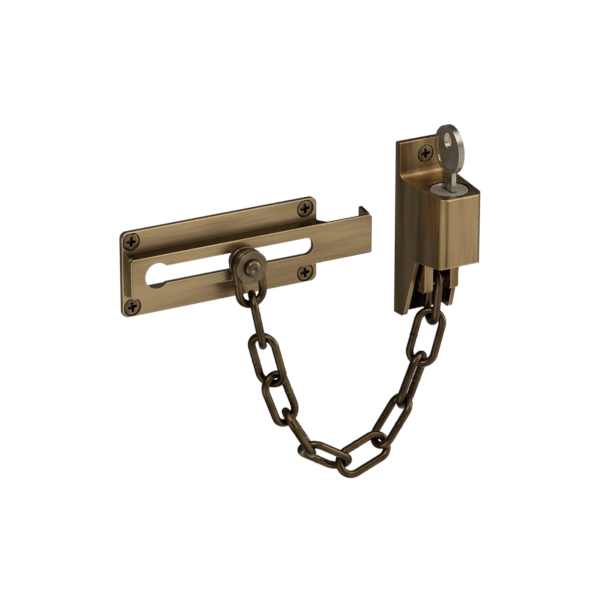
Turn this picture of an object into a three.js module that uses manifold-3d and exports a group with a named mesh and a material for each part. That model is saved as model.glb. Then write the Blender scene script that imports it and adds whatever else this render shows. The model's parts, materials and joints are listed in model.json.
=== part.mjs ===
// Keyed door chain guard: a slotted track for the door, a welded chain on a sliding button,
// and a locking chain holder for the door frame.
// Millimetres, +Z up, -Y out of the door. The origin is the centre of the track's four screws,
// in the plane of the door face (y = 0).
import * as THREE from 'three';
import { mergeVertices } from 'three/addons/utils/BufferGeometryUtils.js';
import Module from 'manifold-3d';

const wasm = await Module();
wasm.setup();

// ---- driving dimensions ----------------------------------------------------------------
const GAP = 0.3; // clearance kept between pieces that touch
const THROUGH = 2; // how far a cutter runs past the surface it cuts
const BITE = 0.5; // how far two solids of one piece run into each other

const track = {
  left: -41.9, right: 43.1, halfHeight: 17.5, plate: 2.6, corner: 2.6,
  screwX: 37.87, screwZ: 13.41, screwTurns: [-4, 5, 8, 3],
  face: 8.4, wall: 2.1, edge: 0.8,
  channelLeft: -40.9, faceHalf: 8.13, rootHalf: 8.85,
  pocketLeft: -38.8, pocketRight: 41.8, pocketHalf: 6.3, pocketRootHalf: 6.8,
  slotHalf: 3.5, slotRight: 35, keyholeX: -29.7, keyholeRadius: 5.2,
  tongueEnd: 65, lip: 1.9, lipRootHalf: 9.2, gussetEnd: 45.6,
};

// the threaded length inside the wood is left off: each shank ends at the wall plane
const screw = { headRadius: 3.4, rim: 0.25, headDepth: 1.65, shank: 1.6, sunk: 0.15 };
const cross = { length: 4.2, width: 0.95, depth: 1.5 };
const sink = { radius: 3.8, hole: 2.05 };

const slider = {
  x: 7.4, z: -1.2,
  neck: 2, bore: 2.3,
  innerHead: { radius: 4.8, from: -4.6, to: -6 },
  backWasher: { radius: 6.65, from: -8.7, to: -10.1 },
  sleeve: { radius: 3.3, from: -10.4, to: -13.8 },
  frontWasher: { radius: 6.65, from: -14.1, to: -15.8 },
  dome: { radius: 3.5, from: -16.1, to: -18.2, steps: 4 },
};

const chain = {
  wire: 3.2, length: 25.4, width: 13.2, gap: 0.4,
  swivelLength: 25, swivelWidth: 13.7, swivelLean: 7,
  planeY: -12.1, yaw: 1.5,
  // a hanging chain of equal links: the slope grows by one step from each link to the next
  slopeStep: 0.987, lowest: 6.64,
  // twist of links 2 to 10 about their own length, in degrees
  twists: [115, 52, -10, 108, 49, -25, -86, -147, -33],
  endX: 92.45, endTilt: 4, endLean: 2.5, endTurn: -11,
  arcSteps: 8, sides: 8,
};

const lock = {
  x: 91.9, halfWidth: 11.9, draft: 0.079, depth: 32.7, corner: 4.4, wall: 1.8, frontWall: 2,
  tabTop: 33.8, tab: 3.3, fillet: 2.8, boxTop: 19.1, boxTopFront: 18.2,
  boxBottomFront: -11, boxBottomBack: -13.2, armFront: 14.6,
  bottom: -39.1, armToe: 7.2, ceiling: 15.9, ceilingFront: 15.2, edge: 0.8,
  tabScrewZ: 27.3, tabScrewTurn: 4, topFall: 0.2,
  axisY: -21.6, faceHole: 8.2,
};

const cylinder = {
  radius: 7.8, top: 16.9, bottom: -1.5, bore: 5.9,
  groove: 6.8, grooveTop: 14.9, grooveBottom: 13.5, clipHalf: 7.8, clipLegs: 5, clipBack: 8.8,
};
const plug = {
  head: 7.6, headTop: 18.2, headBottom: 17.2, radius: 5.6, bottom: -4,
  keywayX: 1.3, keywayY: 4.2, screwHole: 1.5, screwHoleTop: -1.4,
};
const wafers = {
  count: 4, top: 14, pitch: 3.6, thickness: 0.9, halfX: 2.55, halfY: 5.2, corner: 0.5,
  windowX: 1.25, windowY: 4, windowCorner: 0.3,
};
const key = {
  thickness: 1.9, rim: 2.6, rimWidth: 1.5, bowY: 9.3, bowZ: 9.8, bowCentre: 34.8,
  holeY: 2.6, holeZ: 3.1, holeCentre: 38.5, blade: 3.65, tip: 0.6, tipHalf: 0.8, tipRise: 1.6,
  notches: [1.2, 0.72, 1.2, 0.72], notchHalf: 1.6, notchFloor: 0.6,
};
const cam = { top: -4.3, bottom: -6.3, hub: 4.2, reach: 7.5, halfTongue: 2.4, hole: 1.6 };
const camScrew = { shank: 1.2, top: -1.8, head: 2.8, crown: 2, rim: 1, headHeight: 1.6 };
const yoke = {
  finInner: 4.1, finOuter: 7.8, front: -17.1, back: -4, top: -11.8, bridge: -16.4, bottom: -26.7,
  round: 1.8, postHalf: 3.6, postFront: -13.7, postBack: -11.5, shelfFront: -15.6, shelfTop: -1.9, shelf: -3.9,
};
const pin = { y: -11.3, z: -23.43, radius: 1.9, halfLength: 7.4 };
const backPlate = {
  half: 9.6, front: 1.9, back: 0.3, corner: 1, top: 14.5, bottom: -38.9, screwZ: [9.5, -6.5], screwTurns: [25, 55],
};

// ---- finishes --------------------------------------------------------------------------
function metal(name, colour, roughness) {
  return new THREE.MeshStandardMaterial({ name, color: colour, roughness, metalness: 1 });
}
const antiqueBrass = () => metal('antique_brass', 0xb09468, 0.38);
const bronzeScrew = () => metal('bronzed_screw', 0x8f7f66, 0.45);
const bronzeButton = () => metal('bronze_button', 0x83725a, 0.42);
const darkBronze = () => metal('dark_bronze_chain', 0x5f4a34, 0.4);
const nickel = () => metal('nickel', 0xc9c2b2, 0.22);
const lockFace = () => metal('lock_nickel', 0xb9b4ac, 0.4);
const blackSteel = () => metal('black_steel', 0x15130f, 0.6);
const waferBrass = () => metal('wafer_brass', 0xc2a05a, 0.35);
const zincSteel = () => metal('zinc_steel', 0xa9a9a6, 0.4);

// ---- solids ----------------------------------------------------------------------------
function toSolid(geometry) {
  const bare = geometry.clone();
  bare.deleteAttribute('normal');
  bare.deleteAttribute('uv');
  const welded = mergeVertices(bare, 1e-4);
  return new wasm.Manifold(new wasm.Mesh({
    numProp: 3,
    vertProperties: new Float32Array(welded.attributes.position.array),
    triVerts: new Uint32Array(welded.index.array),
  }));
}

function toGeometry(solid) {
  const mesh = solid.getMesh();
  const geometry = new THREE.BufferGeometry();
  geometry.setAttribute('position', new THREE.BufferAttribute(mesh.vertProperties, 3));
  geometry.setIndex(new THREE.BufferAttribute(mesh.triVerts, 1));
  geometry.computeVertexNormals();
  return geometry;
}

function shapeOf(points) {
  return new THREE.Shape(points.map(([a, b]) => new THREE.Vector2(a, b)));
}

function extrude(shape, depth, curveSegments) {
  return new THREE.ExtrudeGeometry(shape, { depth, bevelEnabled: false, curveSegments });
}

// a shape drawn in X and Z, reaching from y = from outward to y = to (to is the lower value)
function alongY(shape, from, to, curveSegments = 8) {
  return toSolid(extrude(shape, from - to, curveSegments).rotateX(Math.PI / 2).translate(0, from, 0));
}

// a shape drawn in Y and Z, reaching from x = from to x = to
function alongX(shape, from, to, curveSegments = 4) {
  const turn = new THREE.Matrix4().makeBasis(
    new THREE.Vector3(0, 1, 0), new THREE.Vector3(0, 0, 1), new THREE.Vector3(1, 0, 0));
  return toSolid(extrude(shape, to - from, curveSegments).applyMatrix4(turn).translate(from, 0, 0));
}

// a shape drawn in X and Y, reaching from z = from up to z = to
function alongZ(shape, from, to, curveSegments = 8) {
  return toSolid(extrude(shape, to - from, curveSegments).translate(0, 0, from));
}

function block(x, y, z) {
  const size = [x[1] - x[0], y[1] - y[0], z[1] - z[0]];
  const box = new THREE.BoxGeometry(...size);
  return toSolid(box.translate((x[0] + x[1]) / 2, (y[0] + y[1]) / 2, (z[0] + z[1]) / 2));
}

// turned about Y; the profile is a list of [radius, y] from the greatest y to the least
function turned(profile, sides) {
  const points = profile.map(([radius, y]) => new THREE.Vector2(radius, y)).reverse();
  return new THREE.LatheGeometry(points, sides);
}

// turned about Z; the profile is a list of [radius, z] from the greatest z to the least
function turnedUp(profile, sides) {
  return turned(profile, sides).rotateX(Math.PI / 2);
}

function discProfile(radius, high, low) {
  return [[0, high], [radius, high], [radius, low], [0, low]];
}

function roundRect(left, right, low, high, radius) {
  const shape = new THREE.Shape();
  shape.moveTo(left + radius, low);
  shape.lineTo(right - radius, low);
  shape.absarc(right - radius, low + radius, radius, -Math.PI / 2, 0);
  shape.lineTo(right, high - radius);
  shape.absarc(right - radius, high - radius, radius, 0, Math.PI / 2);
  shape.lineTo(left + radius, high);
  shape.absarc(left + radius, high - radius, radius, Math.PI / 2, Math.PI);
  shape.lineTo(left, low + radius);
  shape.absarc(left + radius, low + radius, radius, Math.PI, 1.5 * Math.PI);
  return shape;
}

function ellipse(centreY, centreZ, radiusY, radiusZ) {
  const shape = new THREE.Shape();
  shape.absellipse(centreY, centreZ, radiusY, radiusZ, 0, 2 * Math.PI);
  return shape;
}

const guard = new THREE.Group();

function addMesh(name, geometry, material, parent = guard) {
  const mesh = new THREE.Mesh(geometry, material);
  mesh.name = name;
  parent.add(mesh);
  return mesh;
}

// ---- countersunk screws ----------------------------------------------------------------
function screwSink(x, surface, z) {
  const cone = sink.radius - sink.hole;
  const profile = [
    [0, THROUGH], [sink.hole, THROUGH], [sink.hole, -surface + cone],
    [sink.radius, -surface], [sink.radius, -surface - THROUGH], [0, -surface - THROUGH],
  ];
  return toSolid(turned(profile, 24).translate(x, 0, z));
}

function woodScrew(name, x, surface, z, turn) {
  const { headRadius, rim, headDepth, shank, sunk } = screw;
  const end = surface - sunk;
  const profile = [
    [0, end], [shank, end], [shank, headDepth], [headRadius, rim], [headRadius, 0], [0, 0],
  ];
  let body = toSolid(turned(profile, 16));
  const arm = [-cross.length / 2, cross.length / 2];
  const side = [-cross.width / 2, cross.width / 2];
  const depth = [-THROUGH, cross.depth];
  body = body.subtract(block(arm, depth, side)).subtract(block(side, depth, arm));
  const mesh = addMesh(name, toGeometry(body), bronzeScrew());
  mesh.position.set(x, -end, z);
  mesh.rotation.y = THREE.MathUtils.degToRad(turn);
}

// ---- track -----------------------------------------------------------------------------
function channelSection() {
  const { face, edge, faceHalf, rootHalf } = track;
  const edgeHalf = faceHalf + (rootHalf - faceHalf) * edge / face;
  const shape = new THREE.Shape();
  shape.moveTo(0, -rootHalf);
  shape.lineTo(0, rootHalf);
  shape.lineTo(-face + edge, edgeHalf);
  shape.quadraticCurveTo(-face, faceHalf, -face, faceHalf - edge);
  shape.lineTo(-face, -faceHalf + edge);
  shape.quadraticCurveTo(-face, -faceHalf, -face + edge, -edgeHalf);
  return shape;
}

function tongue() {
  const { face, wall, plate, right, gussetEnd, tongueEnd, lip, edge, faceHalf, lipRootHalf } = track;
  const profile = new THREE.Shape();
  profile.moveTo(right - THROUGH, -face);
  profile.lineTo(right - THROUGH, -plate);
  profile.lineTo(right, -plate);
  profile.lineTo(gussetEnd, -face + wall);
  profile.lineTo(tongueEnd - lip, -face + wall);
  profile.lineTo(tongueEnd - lip, -face + 2 * wall);
  profile.lineTo(tongueEnd, -face + 2 * wall);
  profile.lineTo(tongueEnd, -face + edge);
  profile.quadraticCurveTo(tongueEnd, -face, tongueEnd - edge, -face);
  const lipShape = shapeOf([[0, -lipRootHalf], [0, lipRootHalf], [-face + wall, faceHalf], [-face + wall, -faceHalf]]);
  return alongZ(profile, -faceHalf, faceHalf, 4).add(alongX(lipShape, tongueEnd - lip, tongueEnd));
}

function slot() {
  const { slotHalf, slotRight, keyholeX, keyholeRadius, face, wall } = track;
  const run = new THREE.Shape();
  run.moveTo(keyholeX, -slotHalf);
  run.lineTo(slotRight, -slotHalf);
  run.absarc(slotRight, 0, slotHalf, -Math.PI / 2, Math.PI / 2);
  run.lineTo(keyholeX, slotHalf);
  const hole = new THREE.Shape();
  hole.absarc(keyholeX, 0, keyholeRadius, 0, 2 * Math.PI);
  const inside = -face + wall + THROUGH;
  return alongY(run, inside, -face - THROUGH, 10).add(alongY(hole, inside, -face - THROUGH, 14));
}

function buildTrack() {
  const { left, right, halfHeight, corner, plate, channelLeft, face, wall } = track;
  const { pocketLeft, pocketRight, pocketHalf, pocketRootHalf, screwX, screwZ } = track;
  let body = alongY(roundRect(left, right, -halfHeight, halfHeight, corner), 0, -plate, 4);
  body = body.add(alongX(channelSection(), channelLeft, right)).add(tongue());
  const pocket = shapeOf([
    [THROUGH, -pocketRootHalf], [THROUGH, pocketRootHalf], [-face + wall, pocketHalf], [-face + wall, -pocketHalf]]);
  body = body.subtract(alongX(pocket, pocketLeft, pocketRight)).subtract(slot());
  const corners = [[-screwX, screwZ], [screwX, screwZ], [-screwX, -screwZ], [screwX, -screwZ]];
  corners.forEach(([x, z]) => { body = body.subtract(screwSink(x, plate, z)); });
  addMesh('track', toGeometry(body), antiqueBrass());
  corners.forEach(([x, z], i) => woodScrew(`track_screw_${i + 1}`, x, plate, z, track.screwTurns[i]));
}

// ---- slider ----------------------------------------------------------------------------
function washer(name, { radius, from, to }) {
  const { bore } = slider;
  const ring = [[bore, from], [radius, from], [radius, to], [bore, to], [bore, from]];
  const mesh = addMesh(name, turned(ring, 28), bronzeButton());
  mesh.position.set(slider.x, 0, slider.z);
}

function buildSlider() {
  const { neck, innerHead, dome } = slider;
  const rivet = [
    [0, innerHead.from], [innerHead.radius, innerHead.from], [innerHead.radius, innerHead.to],
    [neck, innerHead.to], [neck, dome.from], [dome.radius, dome.from],
  ];
  for (let i = 1; i < dome.steps; i += 1) {
    const angle = i * Math.PI / 2 / dome.steps;
    rivet.push([dome.radius * Math.cos(angle), dome.from - (dome.from - dome.to) * Math.sin(angle)]);
  }
  rivet.push([0, dome.to]);
  const mesh = addMesh('slider_rivet', turned(rivet, 24), bronzeButton());
  mesh.position.set(slider.x, 0, slider.z);
  washer('slider_back_washer', slider.backWasher);
  washer('slider_sleeve', slider.sleeve);
  washer('slider_front_washer', slider.frontWasher);
}

// ---- chain -----------------------------------------------------------------------------
// Centre line of a link, long way along local Y: two half circles joined by straight legs.
class Racetrack extends THREE.Curve {
  constructor(radius, halfLeg) {
    super();
    this.radius = radius;
    this.halfLeg = halfLeg;
  }

  getUtoTmapping(u) {
    return u;
  }

  getPoint(t, target = new THREE.Vector3()) {
    const steps = 2 * chain.arcSteps + 2;
    const s = (((t % 1) + 1) % 1) * steps;
    const lower = s >= steps / 2;
    const along = lower ? s - steps / 2 : s;
    const angle = Math.PI * Math.min(along / chain.arcSteps, 1);
    const slide = Math.max(along - chain.arcSteps, 0);
    const x = this.radius * Math.cos(angle);
    const y = this.radius * Math.sin(angle) + this.halfLeg * (1 - 2 * slide);
    return lower ? target.set(-x, -y, 0) : target.set(x, y, 0);
  }
}

function linkSizes(length, width) {
  return { radius: (width - chain.wire) / 2, halfLeg: (length - width) / 2 };
}

function linkGeometry({ radius, halfLeg }) {
  const rings = 2 * chain.arcSteps + 2;
  const tube = new THREE.TubeGeometry(new Racetrack(radius, halfLeg), rings, chain.wire / 2, chain.sides, true);
  return toGeometry(toSolid(tube));
}

// Where a link points (along) and lies (across) in the hanging plane, X and Z of the chain group.
function linkPose(angle, twist) {
  const along = new THREE.Vector3(Math.cos(angle), 0, Math.sin(angle));
  const across = new THREE.Vector3(-Math.sin(angle), 0, Math.cos(angle)).multiplyScalar(Math.cos(twist));
  across.y = -Math.sin(twist);
  return { along, across };
}

// The unit direction in a link's own plane that is nearest to a pull.
function pullInLink({ along, across }, pull) {
  const inPlane = along.clone().multiplyScalar(along.dot(pull));
  return inPlane.addScaledVector(across, across.dot(pull)).normalize();
}

function addLink(number, group, centre, pose, sizes) {
  const name = `link_${String(number).padStart(2, '0')}`;
  const mesh = addMesh(name, linkGeometry(sizes), darkBronze(), group);
  const normal = pose.across.clone().cross(pose.along);
  mesh.quaternion.setFromRotationMatrix(new THREE.Matrix4().makeBasis(pose.across, pose.along, normal));
  mesh.position.copy(centre);
}

function buildChain() {
  const { wire, gap, slopeStep, lowest } = chain;
  const group = new THREE.Group();
  group.position.set(slider.x, chain.planeY, slider.z);
  group.rotation.z = THREE.MathUtils.degToRad(chain.yaw);
  guard.add(group);

  let sizes = linkSizes(chain.swivelLength, chain.swivelWidth);
  let pose = linkPose(THREE.MathUtils.degToRad(chain.swivelLean - 90), 0);
  const hang = slider.sleeve.radius + GAP + wire / 2;
  const swivelCentre = pose.along.clone().multiplyScalar(sizes.halfLeg + sizes.radius - hang);
  addLink(1, group, swivelCentre, pose, sizes);
  let bend = swivelCentre.clone().addScaledVector(pose.along, sizes.halfLeg);

  chain.twists.forEach((twist, i) => {
    const number = i + 2;
    const pull = new THREE.Vector3(1, 0, slopeStep * (number - 0.5 - lowest)).normalize();
    bend.addScaledVector(pullInLink(pose, pull), sizes.radius).addScaledVector(pull, -wire - gap);
    pose = linkPose(Math.atan(slopeStep * (number - lowest)), THREE.MathUtils.degToRad(twist));
    sizes = linkSizes(chain.length, chain.width);
    bend.addScaledVector(pullInLink(pose, pull), sizes.radius);
    const centre = bend.clone().addScaledVector(pose.along, sizes.halfLeg);
    addLink(number, group, centre, pose, sizes);
    bend = centre.clone().addScaledVector(pose.along, sizes.halfLeg);
  });
}

// The last link hangs on the yoke pin. It tilts toward the wall, leans to the left with the
// pull of the chain and is turned a little between the fins.
function buildEndLink() {
  const sizes = linkSizes(chain.length, chain.width);
  const [tilt, lean, turn] = [chain.endTilt, chain.endLean, chain.endTurn].map(THREE.MathUtils.degToRad);
  const along = new THREE.Vector3(Math.sin(lean), -Math.sin(tilt), Math.cos(tilt)).normalize();
  const across = new THREE.Vector3(0, Math.cos(tilt), Math.sin(tilt));
  across.addScaledVector(along, -along.dot(across)).normalize().applyAxisAngle(along, turn);
  const centre = new THREE.Vector3(chain.endX, pin.y, pin.z + pin.radius + GAP + chain.wire / 2);
  centre.addScaledVector(along, -sizes.halfLeg - sizes.radius);
  addLink(11, guard, centre, { along, across }, sizes);
}

// ---- lock housing ----------------------------------------------------------------------
// Plan of the drafted housing, inset from its outer faces.
function housingPlan(inset, depth) {
  const { draft, halfWidth, corner } = lock;
  const half = (y) => halfWidth - inset - draft * y;
  const radius = corner - inset;
  const shape = new THREE.Shape();
  shape.moveTo(-half(-THROUGH), THROUGH);
  shape.lineTo(-half(depth - radius), radius - depth);
  shape.quadraticCurveTo(-half(depth), -depth, radius - half(depth), -depth);
  shape.lineTo(half(depth) - radius, -depth);
  shape.quadraticCurveTo(half(depth), -depth, half(depth - radius), radius - depth);
  shape.lineTo(half(-THROUGH), THROUGH);
  return shape;
}

// Side outline: screw tab, box and the two arms that taper down to the wall.
function housingSide() {
  const { tabTop, tab, fillet, boxTop, boxTopFront, depth, edge } = lock;
  const { boxBottomFront, boxBottomBack, armFront, bottom, armToe, topFall } = lock;
  const bottomFall = (boxBottomFront - boxBottomBack) * edge / (depth - armFront);
  const shape = new THREE.Shape();
  shape.moveTo(0, bottom);
  shape.lineTo(0, tabTop);
  shape.lineTo(-tab + edge, tabTop - topFall);
  shape.quadraticCurveTo(-tab, tabTop - topFall, -tab, tabTop - topFall - edge);
  shape.lineTo(-tab, boxTop + fillet);
  shape.quadraticCurveTo(-tab, boxTop, -tab - fillet, boxTop);
  shape.lineTo(-depth + edge, boxTopFront);
  shape.quadraticCurveTo(-depth, boxTopFront, -depth, boxTopFront - edge);
  shape.lineTo(-depth, boxBottomFront + edge);
  shape.quadraticCurveTo(-depth, boxBottomFront, -depth + edge, boxBottomFront - bottomFall);
  shape.lineTo(-armFront - edge, boxBottomBack);
  shape.quadraticCurveTo(-armFront, boxBottomBack, -armFront + 0.3 * edge, boxBottomBack - edge);
  shape.lineTo(-armToe, bottom + 1.5 * edge);
  shape.quadraticCurveTo(-armToe + 0.3 * edge, bottom + 0.2 * edge, -armToe + 1.5 * edge, bottom);
  return shape;
}

function buildHousing() {
  const { halfWidth, wall, frontWall, depth, tabTop, bottom, ceiling, ceilingFront, axisY, faceHole } = lock;
  const wide = halfWidth + THROUGH;
  const outer = alongZ(housingPlan(0, depth), bottom - THROUGH, tabTop + THROUGH, 5)
    .intersect(alongX(housingSide(), -wide, wide));
  const inside = shapeOf([
    [THROUGH, ceiling], [frontWall - depth, ceilingFront], [frontWall - depth, bottom - THROUGH],
    [THROUGH, bottom - THROUGH]]);
  const room = alongZ(housingPlan(wall, depth - frontWall), bottom - 2 * THROUGH, tabTop, 5)
    .intersect(alongX(inside, -wide, wide));
  const hole = toSolid(turnedUp(discProfile(faceHole, tabTop, ceilingFront - THROUGH), 32).translate(0, axisY, 0));
  const body = outer.subtract(room).subtract(hole).subtract(screwSink(0, lock.tab, lock.tabScrewZ));
  const mesh = addMesh('lock_housing', toGeometry(body), antiqueBrass());
  mesh.position.x = lock.x;
  woodScrew('tab_screw', lock.x, lock.tab, lock.tabScrewZ, lock.tabScrewTurn);
}

function buildBackPlate() {
  const { half, front, back, corner, top, bottom, screwZ, screwTurns } = backPlate;
  let body = alongY(roundRect(-half, half, bottom, top, corner), -back, -front, 3);
  screwZ.forEach((z) => { body = body.subtract(screwSink(0, front, z)); });
  const mesh = addMesh('lock_backplate', toGeometry(body), blackSteel());
  mesh.position.x = lock.x;
  screwZ.forEach((z, i) => woodScrew(`backplate_screw_${i + 1}`, lock.x, front, z, screwTurns[i]));
}

// ---- chain holder ----------------------------------------------------------------------
function buildYoke() {
  const { finInner, finOuter, front, back, top, bridge, bottom, round } = yoke;
  const { postHalf, postFront, postBack, shelfFront, shelfTop, shelf } = yoke;
  const fin = new THREE.Shape();
  fin.moveTo(back, bottom);
  fin.lineTo(back, top);
  fin.lineTo(front, top);
  fin.lineTo(front, bottom + round);
  fin.quadraticCurveTo(front, bottom, front + round, bottom);
  let body = alongX(fin, -finOuter, finOuter);
  body = body.subtract(block([-finInner, finInner], [front - THROUGH, back + THROUGH], [bottom - THROUGH, bridge]));
  body = body.add(block([-postHalf, postHalf], [postFront, postBack], [top - BITE, shelfTop]));
  body = body.add(block([-postHalf, postHalf], [shelfFront, postBack], [shelf, shelfTop]));
  const bore = toSolid(turned(discProfile(pin.radius + GAP, finOuter + THROUGH, -finOuter - THROUGH), 20)
    .rotateZ(Math.PI / 2).translate(0, pin.y, pin.z));
  const mesh = addMesh('lock_yoke', toGeometry(body.subtract(bore)), antiqueBrass());
  mesh.position.x = lock.x;
  const pinBody = turned(discProfile(pin.radius, pin.halfLength, -pin.halfLength), 20).rotateZ(Math.PI / 2);
  addMesh('yoke_pin', pinBody, zincSteel()).position.set(lock.x, pin.y, pin.z);
}

// ---- lock cylinder ---------------------------------------------------------------------
const barrel = new THREE.Group();
barrel.position.set(lock.x, lock.axisY, 0);
guard.add(barrel);

function buildCylinderBody() {
  const { radius, top, bottom, bore, groove, grooveTop, grooveBottom } = cylinder;
  const profile = [
    [bore, top], [radius, top], [radius, grooveTop], [groove, grooveTop], [groove, grooveBottom],
    [radius, grooveBottom], [radius, bottom], [bore, bottom], [bore, top],
  ];
  addMesh('cylinder_body', turnedUp(profile, 28), zincSteel(), barrel);
}

// flat fork pushed into the groove from the back, bearing on the underside of the box top
function buildClip() {
  const { groove, grooveTop, grooveBottom, clipHalf, clipLegs, clipBack } = cylinder;
  const inner = groove + GAP;
  const shape = new THREE.Shape();
  shape.moveTo(-clipHalf, -clipLegs);
  shape.lineTo(-inner, -clipLegs);
  shape.lineTo(-inner, 0);
  shape.absarc(0, 0, inner, Math.PI, 0, true);
  shape.lineTo(inner, -clipLegs);
  shape.lineTo(clipHalf, -clipLegs);
  shape.lineTo(clipHalf, clipBack);
  shape.lineTo(-clipHalf, clipBack);
  addMesh('cylinder_clip', toGeometry(alongZ(shape, grooveBottom + GAP, grooveTop - GAP, 12)), zincSteel(), barrel);
}

function buildPlug() {
  const { head, headTop, headBottom, radius, bottom, keywayX, keywayY } = plug;
  const profile = [
    [0, headTop], [head, headTop], [head, headBottom], [radius, headBottom], [radius, bottom], [0, bottom]];
  let body = toSolid(turnedUp(profile, 28));
  body = body.subtract(block([-keywayX, keywayX], [-keywayY, keywayY], [0, headTop + THROUGH]));
  const slotHalf = wafers.halfX + GAP;
  for (let i = 0; i < wafers.count; i += 1) {
    const z = wafers.top - wafers.pitch * i;
    const reach = [z - wafers.thickness / 2 - GAP, z + wafers.thickness / 2 + GAP];
    body = body.subtract(block([-slotHalf, slotHalf], [-radius - THROUGH, radius + THROUGH], reach));
  }
  body = body.subtract(toSolid(turnedUp(discProfile(plug.screwHole, plug.screwHoleTop, bottom - THROUGH), 14)));
  addMesh('cylinder_plug', toGeometry(body), lockFace(), barrel);
}

function buildWafers() {
  const { count, top, pitch, thickness, halfX, halfY, corner, windowX, windowY, windowCorner } = wafers;
  for (let i = 0; i < count; i += 1) {
    const plate = roundRect(-halfX, halfX, -halfY, halfY, corner);
    plate.holes.push(roundRect(-windowX, windowX, -windowY, windowY, windowCorner));
    const geometry = toGeometry(alongZ(plate, -thickness / 2, thickness / 2, 2));
    const mesh = addMesh(`wafer_${i + 1}`, geometry, waferBrass(), barrel);
    mesh.position.z = top - pitch * i;
  }
}

function buildCam() {
  const { top, bottom, hub, reach, halfTongue, hole } = cam;
  let body = toSolid(turnedUp(discProfile(hub, top, bottom), 20));
  const tip = toSolid(turnedUp(discProfile(reach, top, bottom), 32));
  const tongueBox = block([-halfTongue, halfTongue], [0, reach + THROUGH], [bottom - THROUGH, top + THROUGH]);
  body = body.add(tip.intersect(tongueBox));
  body = body.subtract(toSolid(turnedUp(discProfile(hole, top + THROUGH, bottom - THROUGH), 14)));
  addMesh('lock_cam', toGeometry(body), zincSteel(), barrel);
}

function buildCamScrew() {
  const { shank, top, head, crown, rim, headHeight } = camScrew;
  const seat = cam.bottom - GAP;
  const profile = [
    [0, top], [shank, top], [shank, seat], [head, seat], [head, seat - rim],
    [crown, seat - headHeight], [0, seat - headHeight]];
  addMesh('cam_screw', turnedUp(profile, 16), zincSteel(), barrel);
}

// ---- key -------------------------------------------------------------------------------
function bladeShape() {
  const { blade, tip, tipHalf, tipRise, notches, notchHalf, notchFloor, bowCentre } = key;
  const root = bowCentre - key.bowZ + key.rimWidth;
  const shape = new THREE.Shape();
  shape.moveTo(-blade, root);
  notches.forEach((depth, i) => {
    const z = wafers.top - wafers.pitch * i;
    shape.lineTo(-blade, z + notchHalf);
    shape.lineTo(-blade + depth, z + notchFloor);
    shape.lineTo(-blade + depth, z - notchFloor);
    shape.lineTo(-blade, z - notchHalf);
  });
  shape.lineTo(-tipHalf, tip);
  shape.lineTo(tipHalf, tip);
  shape.lineTo(blade, tip + tipRise);
  shape.lineTo(blade, root);
  return shape;
}

function buildKey() {
  const { thickness, rim, rimWidth, bowY, bowZ, bowCentre, holeY, holeZ, holeCentre } = key;
  const half = thickness / 2;
  const inner = ellipse(0, bowCentre, bowY - rimWidth, bowZ - rimWidth);
  const ring = alongX(ellipse(0, bowCentre, bowY, bowZ), -rim / 2, rim / 2, 14)
    .subtract(alongX(inner, -rim, rim, 14));
  const bow = alongX(ellipse(0, bowCentre, bowY - rimWidth / 2, bowZ - rimWidth / 2), -half, half, 14);
  const body = bow.add(ring).add(alongX(bladeShape(), -half, half))
    .subtract(alongX(ellipse(0, holeCentre, holeY, holeZ), -rim, rim, 8));
  addMesh('key', toGeometry(body), nickel(), barrel);
}

buildTrack();
buildSlider();
buildChain();
buildEndLink();
buildHousing();
buildBackPlate();
buildYoke();
buildCylinderBody();
buildClip();
buildPlug();
buildWafers();
buildCam();
buildCamScrew();
buildKey();

export default guard;
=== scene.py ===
"""Looks of the keyed door chain guard: antique brass track and lock housing, bronze chain, nickel key."""

import json
import math

import bpy
import numpy as np
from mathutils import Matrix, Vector


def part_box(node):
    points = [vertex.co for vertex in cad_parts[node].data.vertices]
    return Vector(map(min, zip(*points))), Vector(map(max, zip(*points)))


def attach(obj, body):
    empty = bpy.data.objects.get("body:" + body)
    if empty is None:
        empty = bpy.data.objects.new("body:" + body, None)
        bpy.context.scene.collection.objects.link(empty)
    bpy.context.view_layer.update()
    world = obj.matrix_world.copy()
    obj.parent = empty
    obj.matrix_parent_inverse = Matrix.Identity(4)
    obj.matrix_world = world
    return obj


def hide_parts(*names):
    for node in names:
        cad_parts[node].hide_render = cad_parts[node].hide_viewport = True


MM = 0.001
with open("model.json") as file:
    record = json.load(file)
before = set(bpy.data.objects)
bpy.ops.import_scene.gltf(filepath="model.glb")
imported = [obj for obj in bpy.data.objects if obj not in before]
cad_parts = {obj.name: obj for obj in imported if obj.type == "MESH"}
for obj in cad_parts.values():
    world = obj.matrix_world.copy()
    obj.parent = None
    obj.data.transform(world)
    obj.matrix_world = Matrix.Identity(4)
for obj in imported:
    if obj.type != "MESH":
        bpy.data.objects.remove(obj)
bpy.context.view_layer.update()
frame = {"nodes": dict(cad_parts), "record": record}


# ---- where the CAD pieces are ------------------------------------------------------------
def box_mm(node):
    low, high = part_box(node)
    return np.array(low) / MM, np.array(high) / MM


def middle(node):
    low, high = box_mm(node)
    return (low + high) / 2


def own_axes(node):
    """Centre of a link and its long, wide and flat directions, from the spread of its vertices."""
    points = np.array([v.co[:] for v in frame["nodes"][node].data.vertices]) / MM
    points = np.unique(np.round(points, 4), axis=0)
    middle_guess = points.mean(axis=0)
    directions = np.linalg.svd(points - middle_guess, full_matrices=False)[2]
    local = (points - middle_guess) @ directions.T
    low, high = local.min(axis=0), local.max(axis=0)
    return middle_guess + (low + high) / 2 @ directions, directions, high - low


# ---- mesh building -----------------------------------------------------------------------
def add_object(name, vertices, faces):
    mesh = bpy.data.meshes.new(name)
    mesh.from_pydata([Vector(v) * MM for v in vertices], [], faces)
    mesh.validate()
    mesh.update()
    obj = bpy.data.objects.new(name, mesh)
    bpy.context.collection.objects.link(obj)
    return obj


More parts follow.
